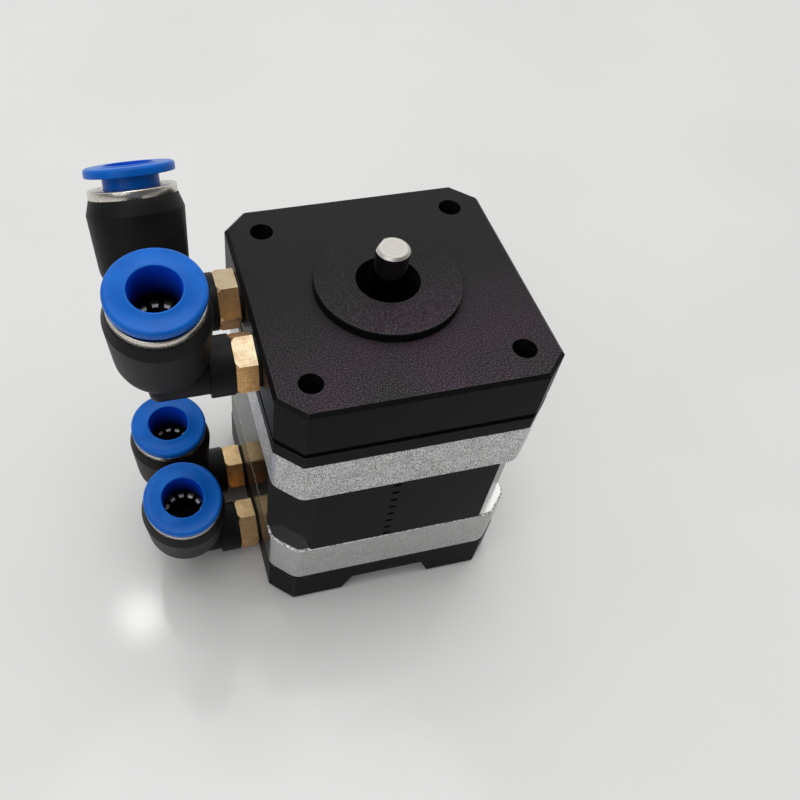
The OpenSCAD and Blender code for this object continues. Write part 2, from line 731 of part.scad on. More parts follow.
// Brass stud along the port's axis: thread, hexagon, spigot and a water passage
module stud(p) {
    spigot_tip = leg_x + spigot_end;
    hex_end = hex_x0 - hex_l;
    groove = spigot_tip + 1.2;
    corner = hex_af / sqrt(3);
    color(brass) translate([0, p[0], p[1]]) difference() {
        union() {
            translate([hex_x0 - 0.5, 0, 0]) rotate([0, 90, 0])
                cylinder(r = stud_thread_d / 2, h = port_washer_t + stud_thread_l + 0.5);
            intersection() {
                translate([hex_end, 0, 0]) rotate([p[4], 0, 0]) rotate([0, 90, 0])
                    cylinder(r = corner, h = hex_l, $fn = 6);
                translate([hex_end, 0, 0]) rotate([0, 90, 0])
                    cylinder(r1 = corner - 0.35, r2 = corner + 1.65, h = hex_l + 0.5);
            }
            translate([spigot_tip, 0, 0]) rotate([0, 90, 0])
                cylinder(r = spigot_d / 2, h = hex_end - spigot_tip + 0.5);
        }
        translate([spigot_tip - 1, 0, 0]) rotate([0, 90, 0])
            cylinder(r = stud_bore_d / 2, h = stud_thread_l - half_w - spigot_tip + 2);
        translate([groove, 0, 0]) rotate([0, 90, 0])
            ring(spigot_d, spigot_d / 2 - 0.6, 1.2);
    }
}

module swivel_seal(p) {
    color(rubber_black) translate([leg_x + spigot_end + 1.8, p[0], p[1]]) rotate([0, 90, 0])
        rotate_extrude() translate([spigot_d / 2 - 0.28, 0]) circle(r = 0.3, $fn = 24);
}

// Moves a part that is drawn upright onto its port: the stud's axis lies along
// local X and the tube's axis along local Z.
module on_port(p) {
    translate([leg_x, p[0], p[1]]) rotate([p[2], 0, 0]) children();
}

// Half section of the upright body: a rounded foot, a slight draft and a conical shoulder
function body_section() = let (
        k = foot_blend, low = foot_rise, top = body_h - shoulder_h)
    concat(
        [[0, low]],
        arc([foot_r - k, low + k], k, -90, 0, 8),
        [[body_r, top], [ring_r + 0.05, body_h], [0, body_h]]);

module elbow(p) {
    bore = spigot_d / 2 + 0.03;
    color(black_plastic) on_port(p) difference() {
        union() {
            rotate_extrude() polygon(body_section());
            rotate([0, 90, 0]) rotate_extrude() polygon(concat(
                [[0, -leg_end]],
                arc([level_leg_r - leg_round, leg_round - leg_end], leg_round, -90, 0, 5),
                [[level_leg_r, level_leg_l - collar_l], [collar_r, level_leg_l - collar_l],
                 [collar_r, level_leg_l], [0, level_leg_l]]));
        }
        rotate([0, 90, 0]) translate([0, 0, spigot_end - 0.3])
            cylinder(r = bore, h = level_leg_l);
        rotate([0, 90, 0]) cylinder(r = passage_r, h = spigot_end + 1);
        hole(passage_r, -0.4, tube_stop_h + 1);
        hole(tube_r + 0.1, tube_stop_h, body_bore_h + 1);
        hole(skirt_r + seat_gap, body_bore_h, body_h + 1);
    }
}

module socket_ring(p) {
    lip_h = ring_top - 2.4;
    color(nickel) on_port(p) rotate_extrude() polygon([
        [neck_r + slide_gap, ring_top], [neck_r + slide_gap, lip_h],
        [neck_r + slide_gap + 0.4, lip_h], [neck_r + slide_gap + 0.4, skirt_bottom],
        [skirt_r, skirt_bottom], [skirt_r, body_h],
        [ring_r, body_h], [ring_r, ring_top - 0.15], [ring_r - 0.15, ring_top]]);
}

module tube_seal(p) {
    color(rubber_black) on_port(p) rotate_extrude() polygon([
        [tube_r + 0.3, body_bore_h], [tube_r - tube_bite * 0.4, body_bore_h + seal_h * 0.45],
        [tube_r + 0.3, seal_top], [skirt_r - 0.03, seal_top], [skirt_r - 0.03, body_bore_h]]);
}

module claw(p) {
    color(steel) on_port(p) difference() {
        translate([0, 0, seal_top]) ring(skirt_r - 0.03, tube_r - tube_bite, claw_t);
        for (i = [0 : claw_teeth - 1]) rotate(360 * (i + 0.5) / claw_teeth)
            translate([0, -claw_slot_w / 2, seal_top - 1]) cube([neck_r, claw_slot_w, claw_t + 2]);
    }
}

// Release collet: flange with a rounded rim, neck with a stop lip, rounded bore
module collet(p) {
    top = ring_top + p[3] + flange_t;
    low = top - flange_t - neck_l;
    k = collet_round;
    color(collet_blue) on_port(p) rotate_extrude() polygon(concat(
        [[collet_bore_r, low], [neck_r + 0.35, low], [neck_r + 0.35, low + 0.6],
         [neck_r, low + 0.75], [neck_r, top - flange_t], [flange_r - 0.2, top - flange_t],
         [flange_r, top - flange_t + 0.2]],
        arc([flange_r - rim_round, top - rim_round], rim_round, 0, 90, 6),
        arc([collet_bore_r + k, top - k], k, 90, 180, 5)));
}

front_cooling_block();
front_channel_gasket();
front_cover_plate();
front_bell();
stator_stack();
front_bobbin();
rear_bobbin();
phase_a_coils();
phase_b_coils();
rear_bell();
rear_channel_gasket();
rear_cooling_block();
front_bearing_outer_ring();
front_bearing_balls();
front_bearing_inner_ring();
rear_bearing_outer_ring();
rear_bearing_balls();
rear_bearing_inner_ring();
wave_washer();
body_screws();
motor_shaft();
rotor_magnet();
front_rotor_cup();
rear_rotor_cup();
front_spacer();
rear_spacer();
connector_socket();
connector_pins();
port_seal_washers();
stud(front_inlet);  // front_inlet_stud
swivel_seal(front_inlet);  // front_inlet_swivel_seal
elbow(front_inlet);  // front_inlet_elbow
socket_ring(front_inlet);  // front_inlet_ring
tube_seal(front_inlet);  // front_inlet_tube_seal
claw(front_inlet);  // front_inlet_claw
collet(front_inlet);  // front_inlet_collet
stud(front_outlet);  // front_outlet_stud
swivel_seal(front_outlet);  // front_outlet_swivel_seal
elbow(front_outlet);  // front_outlet_elbow
socket_ring(front_outlet);  // front_outlet_ring
tube_seal(front_outlet);  // front_outlet_tube_seal
claw(front_outlet);  // front_outlet_claw
collet(front_outlet);  // front_outlet_collet
stud(rear_inlet);  // rear_inlet_stud
swivel_seal(rear_inlet);  // rear_inlet_swivel_seal
elbow(rear_inlet);  // rear_inlet_elbow
socket_ring(rear_inlet);  // rear_inlet_ring
tube_seal(rear_inlet);  // rear_inlet_tube_seal
claw(rear_inlet);  // rear_inlet_claw
collet(rear_inlet);  // rear_inlet_collet
stud(rear_outlet);  // rear_outlet_stud
swivel_seal(rear_outlet);  // rear_outlet_swivel_seal
elbow(rear_outlet);  // rear_outlet_elbow
socket_ring(rear_outlet);  // rear_outlet_ring
tube_seal(rear_outlet);  // rear_outlet_tube_seal
claw(rear_outlet);  // rear_outlet_claw
collet(rear_outlet);  // rear_outlet_collet
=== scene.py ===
"""Finishes and studio for a size 17 stepper motor with water-cooling blocks and push-in elbows.

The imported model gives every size. Sharp edges get a narrow break, the turned, stamped and wound
parts are made again with their fine forms, and each surface gets its finish.
"""

import json
import math

import bmesh
import bpy
from mathutils import Matrix, Vector


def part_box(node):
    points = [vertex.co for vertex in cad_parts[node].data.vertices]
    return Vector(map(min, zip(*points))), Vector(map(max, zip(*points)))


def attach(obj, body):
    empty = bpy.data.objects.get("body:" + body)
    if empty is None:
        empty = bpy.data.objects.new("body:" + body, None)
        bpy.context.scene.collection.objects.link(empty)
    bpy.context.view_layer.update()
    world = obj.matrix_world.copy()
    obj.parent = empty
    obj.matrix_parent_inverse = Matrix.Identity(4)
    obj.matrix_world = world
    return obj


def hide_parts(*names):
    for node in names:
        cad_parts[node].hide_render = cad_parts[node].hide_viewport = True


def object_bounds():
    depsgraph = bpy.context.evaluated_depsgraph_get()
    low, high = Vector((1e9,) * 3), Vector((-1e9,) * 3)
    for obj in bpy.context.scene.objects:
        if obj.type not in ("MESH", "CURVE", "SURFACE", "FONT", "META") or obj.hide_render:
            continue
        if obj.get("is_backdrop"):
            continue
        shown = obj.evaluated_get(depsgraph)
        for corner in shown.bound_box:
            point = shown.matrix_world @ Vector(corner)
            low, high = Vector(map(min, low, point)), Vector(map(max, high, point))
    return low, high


MM = 0.001
FITTINGS = ("front_inlet", "front_outlet", "rear_inlet", "rear_outlet")
CLAW_TEETH = 12
BALLS_IN_A_BEARING = 8
LEAD_PINS = 6
POLES_IN_A_PHASE = 4

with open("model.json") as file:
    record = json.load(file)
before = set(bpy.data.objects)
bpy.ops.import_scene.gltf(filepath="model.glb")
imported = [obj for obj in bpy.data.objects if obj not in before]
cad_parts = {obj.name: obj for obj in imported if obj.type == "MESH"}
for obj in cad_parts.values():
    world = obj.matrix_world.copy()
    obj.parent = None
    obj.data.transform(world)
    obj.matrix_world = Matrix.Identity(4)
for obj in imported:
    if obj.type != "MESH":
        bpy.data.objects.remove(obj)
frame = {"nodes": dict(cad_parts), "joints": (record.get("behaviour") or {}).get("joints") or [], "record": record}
cad_low, cad_high = (Vector(c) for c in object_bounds())


# Node arithmetic

class Value:
    """A number or colour inside a node tree. Operators on numbers add Math nodes."""

    def __init__(self, maker, socket):
        self.maker, self.socket = maker, socket

    def math(self, operation, *terms):
        return self.maker.node("ShaderNodeMath", {"operation": operation}, *terms)

    def __add__(self, other): return self.math("ADD", self, other)
    def __radd__(self, other): return self.math("ADD", other, self)
    def __sub__(self, other): return self.math("SUBTRACT", self, other)
    def __rsub__(self, other): return self.math("SUBTRACT", other, self)
    def __mul__(self, other): return self.math("MULTIPLY", self, other)
    def __truediv__(self, other): return self.math("DIVIDE", self, other)
    def __pow__(self, other): return self.math("POWER", self, other)
    def __abs__(self): return self.math("ABSOLUTE", self)

    def floor(self): return self.math("FLOOR", self)
    def fraction(self): return self.math("FRACT", self)
    def above(self, limit): return self.math("GREATER_THAN", self, limit)

    def ramp(self, low, high, start, end):
        """This number, taken from start..end to low..high and held there."""
        return self.maker.node("ShaderNodeMapRange", {"clamp": True}, self, start, end, low, high)


class Maker:
    """Adds nodes to one tree."""

    def __init__(self, tree):
        self.tree = tree

    def node(self, kind, settings, *values, out=0, **named):
        node = self.tree.nodes.new(kind)
        for key, setting in settings.items():
            setattr(node, key, setting)
        for index, value in enumerate(values):
            self.feed(node.inputs[index], value)
        for key, value in named.items():
            self.feed(node.inputs[key.replace("_", " ")], value)
        return Value(self, node.outputs[out])

    def feed(self, socket, value):
        if isinstance(value, Value):
            self.tree.links.new(value.socket, socket)
        elif value is not None:
            socket.default_value = value

    def vector(self, x=0.0, y=0.0, z=0.0):
        return self.node("ShaderNodeCombineXYZ", {}, x, y, z)

    def part(self, vector, axis):
        return self.node("ShaderNodeSeparateXYZ", {}, vector, out="XYZ".index(axis))


class Finish(Maker):
    """One material: a Principled shader and the nodes that feed it."""

    def __init__(self, name, **constants):
        self.material = bpy.data.materials.new(name)
        self.material.use_nodes = True
        super().__init__(self.material.node_tree)
        self.shader = self.tree.nodes["Principled BSDF"]
        for socket, value in constants.items():
            self.shader.inputs[socket.replace("_", " ")].default_value = value

    def place(self, stretch=(1, 1, 1)):
        """The surface's own place in millimetres, stretched along the frame's axes."""
        coordinates = self.node("ShaderNodeTexCoord", {}, out="Object")
        scale = [s / MM for s in stretch]
        return self.node("ShaderNodeVectorMath", {"operation": "MULTIPLY"}, coordinates, scale)

    def facing(self, axis="Z"):
        """How far the surface faces along one of the frame's axes, from -1 to 1."""
        return self.part(self.node("ShaderNodeTexCoord", {}, out="Normal"), axis)

    def faces_up(self, start, end):
        """How upward the surface is: 0 where it faces up less than start, 1 above end."""
        return self.facing().ramp(0, 1, start, end)

    def noise(self, where, per_mm, detail=2.0, roughness=0.5):
        return self.node("ShaderNodeTexNoise", {}, Vector=where, Scale=per_mm, Detail=detail,
                         Roughness=roughness)

    def mix(self, share, first, second):
        """A colour between first and second."""
        node = self.tree.nodes.new("ShaderNodeMix")
        node.data_type = "RGBA"
        self.feed(node.inputs[0], share)
        self.feed(node.inputs[6], first if isinstance(first, Value) else (*first, 1.0))
        self.feed(node.inputs[7], second if isinstance(second, Value) else (*second, 1.0))
        return Value(self, node.outputs[2])

    def bump(self, height, depth_mm, strength):
        return self.node("ShaderNodeBump", {}, Strength=strength, Distance=depth_mm * MM,
                         Height=height)

    def give(self, **sockets):
        for socket, value in sockets.items():
            self.feed(self.shader.inputs[socket.replace("_", " ")],
                      (*value, 1.0) if isinstance(value, tuple) else value)
        return self.material


class Pattern(Maker):
    """Geometry Nodes that repeat a shape by rule, with named sizes in millimetres."""

    def __init__(self, name, **sizes):
        super().__init__(bpy.data.node_groups.new(name, "GeometryNodeTree"))
        self.tree.interface.new_socket("Geometry", in_out="OUTPUT",
                                       socket_type="NodeSocketGeometry")
        for size in sizes:
            self.tree.interface.new_socket(size, in_out="INPUT", socket_type="NodeSocketFloat")
        given = self.tree.nodes.new("NodeGroupInput")
        self.given = {size: Value(self, given.outputs[size]) for size in sizes}
        self.sizes = sizes

    def around(self, count, radius, shape):
        """The shape, set at even steps round the Z axis and turned with each step."""
        points = self.node("GeometryNodeMeshCircle", {}, Vertices=count, Radius=radius)
        turn = self.vector(z=self.node("GeometryNodeInputIndex", {}) * (2 * math.pi / count))
        return self.node("GeometryNodeInstanceOnPoints", {}, Points=points, Instance=shape,
                         Rotation=turn)

    def joined(self, *shapes):
        node = self.tree.nodes.new("GeometryNodeJoinGeometry")
        for shape in reversed(shapes):
            self.tree.links.new(shape.socket, node.inputs[0])
        return Value(self, node.outputs[0])

    def finished(self, shape, finish, where=None):
        return self.node("GeometryNodeSetMaterial", {}, shape, Selection=where, Material=finish)

    def ends_in(self, shape, smooth=True):
        last = self.node("GeometryNodeRealizeInstances", {}, shape)
        if smooth:
            last = self.node("GeometryNodeSetShadeSmooth", {}, last)
        self.tree.links.new(last.socket, self.tree.nodes.new("NodeGroupOutput").inputs[0])
        return self

    def made(self, name, node, place, **changed):
        """A piece by this rule, in place of a CAD node."""
        piece = bpy.data.objects.new(name, bpy.data.meshes.new(name))
        bpy.context.scene.collection.objects.link(piece)
        rule = piece.modifiers.new("rule", "NODES")
        rule.node_group = self.tree
        for item in self.tree.interface.items_tree:
            if item.in_out == "INPUT":
                rule[item.identifier] = float({**self.sizes, **changed}[item.name])
        settled(piece)
        piece.data.transform(place @ Matrix.Scale(MM, 4))
        return stands_for(piece, node)


# Finishes

def grey(level):
    """A neutral colour."""
    return (level, level, level)


def black_anodising():
    """Anodised aluminium: smooth on its sides, bead-blasted to a fine grain where it faces up. It carries painted
    light: the upward faces are painted lighter than the sides, the front has a painted sheen, and the sides are
    painted darker toward the bottom as painted shade.
    """
    f = Finish("black_anodising", Specular_IOR_Level=0.05)
    mm = f.place()
    grain = f.noise(mm, per_mm=5.2, detail=1.0)
    # near: 1 toward the front (-Y), 0 toward the back; it carries a painted sheen.
    near = f.part(mm, "Y").ramp(1, 0, -21, 4)
    cloud = f.noise(mm, per_mm=0.05).ramp(0, 1, 0.40, 0.62)
    # Upward faces: bead-blasted grain, and also painted lighter than the darker sides, as painted light.
    blasted = f.faces_up(0.90, 0.98) * f.part(mm, "Z").ramp(0, 1, -0.6, -0.4)
    # The purple tint toward the front is a painted sheen.
    tint = f.mix(cloud * near, grey(0.0185), (0.0400, 0.0190, 0.0380))
    # Flecks and pits grow stronger toward the front, as a painted sheen on the grain.
    fleck = grain.ramp(0, 1, 0.48, 0.72) * (0.12 + near * 0.72)
    pit = grain.ramp(1, 0, 0.28, 0.50) * (0.10 + near * 0.55)
    top = f.mix(pit, f.mix(fleck, tint, (0.125, 0.116, 0.125)), grey(0.005))
    # The sides are painted darker toward the bottom, as painted shade from the table beneath.
    lower = f.part(mm, "Z").ramp(0, 1, -30, -46)
    side = f.mix(lower, (0.0072, 0.0070, 0.0073), grey(0.0026))
    return f.give(Base_Color=f.mix(blasted, side, top),
                  Roughness=0.34 + grain * 0.10 + blasted * 0.08,
                  Normal=f.bump(grain * blasted, 0.06, 0.6))


def rubbed_edge():
    """The narrow break of an anodised edge, painted lighter on the near edges and on the boss as a painted glint,
    in patches.
    """
    f = Finish("rubbed_edge", Specular_IOR_Level=0.12)
    mm = f.place()
    near = f.part(mm, "Y").ramp(1, 0, -14, 2)
    block_edge = f.faces_up(0.55, 0.88) * near
    boss_edge = f.faces_up(0.30, 0.60) * f.part(mm, "Z").ramp(0, 1, 0.4, 0.8)
    glint_patches = f.noise(mm, per_mm=1.3, detail=4.0, roughness=0.7).ramp(0.2, 1, 0.40, 0.66)
    # Painted glint on the near edges and on the boss, broken into patches by noise.
    painted_glint = glint_patches * (block_edge + boss_edge * (0.25 + near * 0.75))
    return f.give(Base_Color=f.mix(painted_glint, (0.0085, 0.0083, 0.0087), (0.110, 0.104, 0.110)),
                  Roughness=0.40 - painted_glint * 0.10, Normal=f.bump(painted_glint, 0.02, 0.4))


def blasted_casting(name, dark, bright, depth_mm, x_shade_share=0.0):
    """Cast aluminium, blasted to a fine hard speckle, with a smooth machined ledge. The side that faces -X can be
    painted near-black, as painted shade and a painted reflection of the dark fittings beside it."""
    f = Finish(name)
    mm = f.place()
    speck = f.noise(mm, per_mm=7.6, detail=1.5, roughness=0.6)
    patch = f.noise(mm, per_mm=0.35, detail=3.0, roughness=0.6)
    ledge = f.faces_up(0.90, 0.98)
    # coat: the side facing -X painted near-black, as painted shade and a painted reflection of the fittings.
    coat = f.facing("X").ramp(x_shade_share, 0, -0.98, -0.92)
    pits = speck * 0.88 + patch * 0.12
    skin = f.mix(pits.ramp(0, 1, 0.38, 0.62), dark, bright)
    metal = f.mix(ledge, skin, (0.94, 0.94, 0.93))
    skin_roughness = pits.ramp(0.24, 0.42, 0.38, 0.62)
    return f.give(Base_Color=f.mix(coat, metal, grey(0.008)),
                  Metallic=(0.3 + ledge * 0.7) * (1 - coat),
                  Roughness=skin_roughness * (1 - ledge) + ledge * 0.12,
                  Normal=f.bump(speck * (1 - ledge * 0.9), depth_mm, 0.8))


def chipped_edge():
    """Edge of a casting, knocked bright in patches, and painted near-white there as a painted highlight."""
    f = Finish("chipped_edge")
    # Bright patches: chips of bare metal, and a painted highlight as well.
    chips_and_glints = f.noise(f.place(), per_mm=1.6, detail=5.0, roughness=0.75).ramp(0, 1, 0.44, 0.53)
    return f.give(Base_Color=f.mix(chips_and_glints, grey(0.30), grey(1.0)), Metallic=0.6 - chips_and_glints * 0.5,
                  Roughness=0.30 + chips_and_glints * 0.10, Normal=f.bump(chips_and_glints, 0.05, 0.6))


def coated_sheets(sheet_mm=0.5):
    """Lamination stack under a smooth black coat, with its sheets' edges just showing."""
    f = Finish("coated_sheets", Specular_IOR_Level=0.05)
    mm = f.place()
    sheets = f.part(mm, "Z") * (1 / sheet_mm)
    seam = abs(sheets.fraction() - 0.5).ramp(1, 0, 0.0, 0.09)
    wander = f.noise(mm, per_mm=0.25, detail=3.0)
    return f.give(Base_Color=f.mix(seam * 0.35, (0.0060, 0.0060, 0.0062), grey(0.0026)),
                  Roughness=0.13 + wander * 0.08,
                  Normal=f.bump(1 - seam + wander * 0.3, 0.005, 0.4))


def turned_brass():
    """Bar brass with fine cutting marks both ways and a warm tarnish. Its facets carry painted light: paler and
    duller where they face up, as a painted highlight, and a deeper orange on the others, as a painted reflection
    of the brass beside them; on the lower studs the upward facets are painted lighter, as painted light.
    """
    f = Finish("turned_brass", Metallic=1.0)
    mm = f.place()
    along = f.noise(f.place((0.5, 9.0, 9.0)), per_mm=1.0, detail=3.0, roughness=0.65)
    across = f.noise(f.place((9.0, 0.8, 0.8)), per_mm=1.0, detail=3.0, roughness=0.65)
    marks = (along * 0.45 + across * 0.55).ramp(0, 1, 0.36, 0.64)
    tarnish = f.noise(mm, per_mm=0.5, detail=4.0, roughness=0.6).ramp(0, 1, 0.44, 0.70)
    # The lower studs' upward facets are painted lighter, as painted light.
    low_studs_lift = f.part(mm, "Z").ramp(1, 0, -44, -30)
    # Facets that don't face up: a deeper orange, as a painted reflection of the brass beside them.
    reflected_orange = f.mix(marks, (0.52, 0.26, 0.10), (1.0, 0.64, 0.29))
    # Facets that face up: paler and duller, as a painted highlight.
    highlit_pale = f.mix(marks * 0.6 + 0.4, (0.34, 0.26, 0.155), (0.54, 0.45, 0.31))
    highlit_pale_low = f.mix(marks, (0.56, 0.37, 0.17), (0.92, 0.70, 0.40))
    bare = f.mix(f.faces_up(0.50, 0.85), reflected_orange, f.mix(low_studs_lift, highlit_pale, highlit_pale_low))
    return f.give(Base_Color=f.mix(tarnish * 0.45, bare, (0.44, 0.24, 0.11)),
                  Roughness=0.46 - marks * 0.12 + tarnish * 0.08,
                  Normal=f.bump(marks, 0.012, 0.5))


def nickel_plate():
    """Nickel on turned brass: a warm satin with clouds of dark specks."""
    f = Finish("nickel_plate", Metallic=1.0)
    mm = f.place()
    speck = f.noise(mm, per_mm=4.4, detail=3.0, roughness=0.7)
    cloud = f.noise(mm, per_mm=0.30, detail=3.0, roughness=0.6).ramp(0.25, 1, 0.44, 0.60)
    dirt = speck.ramp(0, 1, 0.50, 0.66) * cloud
    return f.give(Base_Color=f.mix(dirt, (0.72, 0.68, 0.62), (0.20, 0.15, 0.12)),
                  Roughness=0.26 + dirt * 0.25, Normal=f.bump(speck, 0.012, 0.6))


def blue_plastic():
    """Moulded acetal: a clear blue with a soft sheen, faint flow marks and a few scuffs."""
    f = Finish("blue_plastic", Specular_IOR_Level=0.16)
    flow = f.noise(f.place(), per_mm=0.25, detail=3.0)
    scratches = f.noise(f.place((3, 3, 1)), per_mm=1.4, detail=4.0, roughness=0.75)
    scuff = scratches.ramp(0, 1, 0.58, 0.80)
    colour = f.mix(flow.ramp(0, 1, 0.35, 0.65), (0.0016, 0.110, 0.50), (0.0026, 0.140, 0.60))
    return f.give(Base_Color=f.mix(scuff * 0.16, colour, (0.10, 0.32, 0.80)),
                  Roughness=0.26 + flow * 0.10 + scuff * 0.14,
                  Normal=f.bump(flow + scuff * 0.2, 0.03, 0.35))


def blue_bore():
    """The same blue inside the bore, painted bright under the rim as painted light through the plastic, and dark
    in the depth of the body as painted shade.
    """
    f = Finish("blue_bore", Specular_IOR_Level=0.10)
    depth = f.part(f.node("ShaderNodeUVMap", {"uv_map": "radius_and_depth"}), "Y")
    flow = f.noise(f.place(), per_mm=0.5, detail=3.0)
    # Painted light under the rim, fading to painted shade in the depth.
    painted_bore_light = depth.ramp(1, 0, 0.6, 5.4) * (0.85 + flow * 0.3)
    return f.give(Base_Color=f.mix(painted_bore_light, (0.0004, 0.0020, 0.010), (0.0030, 0.062, 0.62)),
                  Roughness=0.36 + flow * 0.1)


def black_nylon():
    """Glass-filled nylon: matt black skin with a low sheen."""
    f = Finish("black_nylon", Specular_IOR_Level=0.14)
    mm = f.place()
    skin = f.noise(mm, per_mm=3.0, detail=4.0, roughness=0.6)
    flow = f.noise(mm, per_mm=0.22, detail=3.0)
    streak = flow.ramp(0, 1, 0.38, 0.62)
    return f.give(Base_Color=f.mix(streak, (0.0060, 0.0060, 0.0062), (0.0104, 0.0100, 0.0098)),
                  Roughness=0.38 + skin * 0.10 + flow * 0.10,
                  Normal=f.bump(skin, 0.018, 0.5))


def ground_steel():
    """Ground shaft: glossy round its side and painted dark there, as a painted reflection of the black block and
    bore; turned to a pale sheen on its end and its bevel; and painted near-black and dull on the step where the
    flat ends, deep in the opening, as painted shade."""
    f = Finish("ground_steel", Metallic=1.0)
    mm = f.place()
    upward = f.faces_up(0.50, 0.66)
    end = upward * f.part(mm, "Z").ramp(0, 1, 4, 5)
    # The step deep in the opening is painted near-black, as painted shade.
    step = upward - end
    radius = f.node("ShaderNodeVectorMath", {"operation": "LENGTH"}, f.place((1, 1, 0)), out=1)
    turned = f.noise(f.vector(radius * 5.0), per_mm=1.0, detail=3.0, roughness=0.6)
    ground = f.noise(f.place((0.3, 0.3, 14)), per_mm=1.0, detail=3.0, roughness=0.6)
    marks = turned * end + ground * (1 - end)
    # The side is painted dark, as a painted reflection of the black block and the bore.
    side = f.mix(marks, (0.075, 0.072, 0.070), (0.135, 0.13, 0.127))
    face = f.mix(turned.ramp(0, 1, 0.35, 0.65), (0.46, 0.43, 0.405), (0.68, 0.65, 0.62))
    return f.give(Base_Color=f.mix(end, f.mix(step, side, grey(0.008)), face),
                  Roughness=0.08 + marks * 0.05 + end * 0.30 + step * 0.45,
                  Normal=f.bump(marks, 0.004, 0.35))


def bright_steel(name, dark, pale, gloss):
    """Hard steel, smeared with oil here and there."""
    f = Finish(name, Metallic=1.0)
    smear = f.noise(f.place(), per_mm=0.8, detail=4.0, roughness=0.6)
    return f.give(Base_Color=f.mix(smear, dark, pale),
                  Roughness=smear.ramp(gloss, gloss + 0.16, 0.35, 0.7))


def spring_steel(name, dark, pale):
    """Stamped spring sheet with the blank's dull grain."""
    f = Finish(name, Metallic=0.85)
    grain = f.noise(f.place((6, 6, 1.5)), per_mm=1.0, detail=3.0, roughness=0.65)
    return f.give(Base_Color=f.mix(grain, dark, pale),
                  Roughness=0.34 + grain * 0.16, Normal=f.bump(grain, 0.01, 0.5))


def stamped_iron(name, colour):
    """Bare soft iron or sintered magnet: grey with an uneven, dull skin."""
    f = Finish(name, Metallic=0.9)
    skin = f.noise(f.place(), per_mm=1.2, detail=5.0, roughness=0.65)
    dark = tuple(0.6 * c for c in colour)
    return f.give(Base_Color=f.mix(skin.ramp(0, 1, 0.35, 0.65), dark, colour),
                  Roughness=0.38 + skin * 0.2, Normal=f.bump(skin, 0.02, 0.5))


def moulded_rubber():
    """Nitrile seal: dull black with a dusty bloom."""
    f = Finish("moulded_rubber", Specular_IOR_Level=0.25)
    bloom = f.noise(f.place(), per_mm=1.0, detail=5.0, roughness=0.7)
    return f.give(Base_Color=f.mix(bloom.ramp(0, 1, 0.5, 0.75), grey(0.005), grey(0.018)),
                  Roughness=0.55 + bloom * 0.25, Normal=f.bump(bloom, 0.01, 0.4))


def white_plastic():
    """Off-white moulding of the bobbins and the connector."""
    f = Finish("white_plastic")
    flow = f.noise(f.place(), per_mm=0.4, detail=4.0, roughness=0.55)
    streak = flow.ramp(0, 1, 0.35, 0.65)
    return f.give(Base_Color=f.mix(streak, (0.70, 0.68, 0.60), (0.78, 0.76, 0.69)),
                  Roughness=0.36 + flow * 0.14, Normal=f.bump(flow, 0.02, 0.3))


def enamelled_wire():
    """Copper wire under clear enamel."""
    f = Finish("enamelled_wire", Metallic=0.8, Coat_Weight=0.5, Coat_Roughness=0.15)
    hue = f.noise(f.place(), per_mm=0.7, detail=3.0, roughness=0.6)
    return f.give(Base_Color=f.mix(hue, (0.46, 0.17, 0.07), (0.74, 0.34, 0.15)),
                  Roughness=0.28 + hue * 0.12, Normal=f.bump(hue, 0.01, 0.3))


# Shapes

def settled(piece):
    """Turns the piece's modifiers into its plain mesh."""
    bpy.context.view_layer.update()
    seen = piece.evaluated_get(bpy.context.evaluated_depsgraph_get())
    shape = bpy.data.meshes.new_from_object(seen)
    piece.modifiers.clear()
    piece.data = shape
    return piece


def body_of(node):
    """The moving body that a CAD node belongs to."""
    bodies = frame["record"]["behaviour"]["bodies"]
    return next(body for body, nodes in bodies.items() if node in nodes)


def slot_of(node):
    """The material slot that the record gives a CAD node."""
    return next(s["material_slot"] for s in frame["record"]["subparts"] if s["node"] == node)


def stands_for(piece, node):
    """Seats a finished piece on its body in place of a CAD node."""
    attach(piece, body_of(node))
    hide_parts(node)
    return piece


def piece_from(name, bm, *finishes):
    """A smooth-shaded piece from mesh data."""
    mesh = bpy.data.meshes.new(name)
    bm.to_mesh(mesh)
    bm.free()
    for finish in finishes:
        mesh.materials.append(finish)
    for face in mesh.polygons:
        face.use_smooth = True
    piece = bpy.data.objects.new(name, mesh)
    bpy.context.scene.collection.objects.link(piece)
    return piece


def flats_kept(piece):
    """Settles the piece with normals that follow its large faces."""
    weighted = piece.modifiers.new("flat faces stay flat", "WEIGHTED_NORMAL")
    weighted.mode, weighted.weight = "FACE_AREA", 100
    return settled(piece)


def upper_rim_knocked(bm, width_mm, steps=4, side=20.5, corner=36.0, sharp=1.0):
    """Rounds the outer rim of a square part's upper face, and gives it the second finish. The rim
    lies past side along X or Y, or past corner along both together, and is sharp in radians."""
    top = max(v.co.z for v in bm.verts)

    def outside(vert):
        x, y = abs(vert.co.x) / MM, abs(vert.co.y) / MM
        return vert.co.z > top - 1e-6 and (max(x, y) > side or x + y > corner)

    rim = [e for e in bm.edges if all(map(outside, e.verts)) and e.calc_face_angle(0) > sharp]
    made = bmesh.ops.bevel(bm, geom=rim, offset=width_mm * MM, offset_type="OFFSET",
                           segments=steps, profile=0.5, affect="EDGES", clamp_overlap=False)
    for face in made["faces"]:
        face.material_index = 1


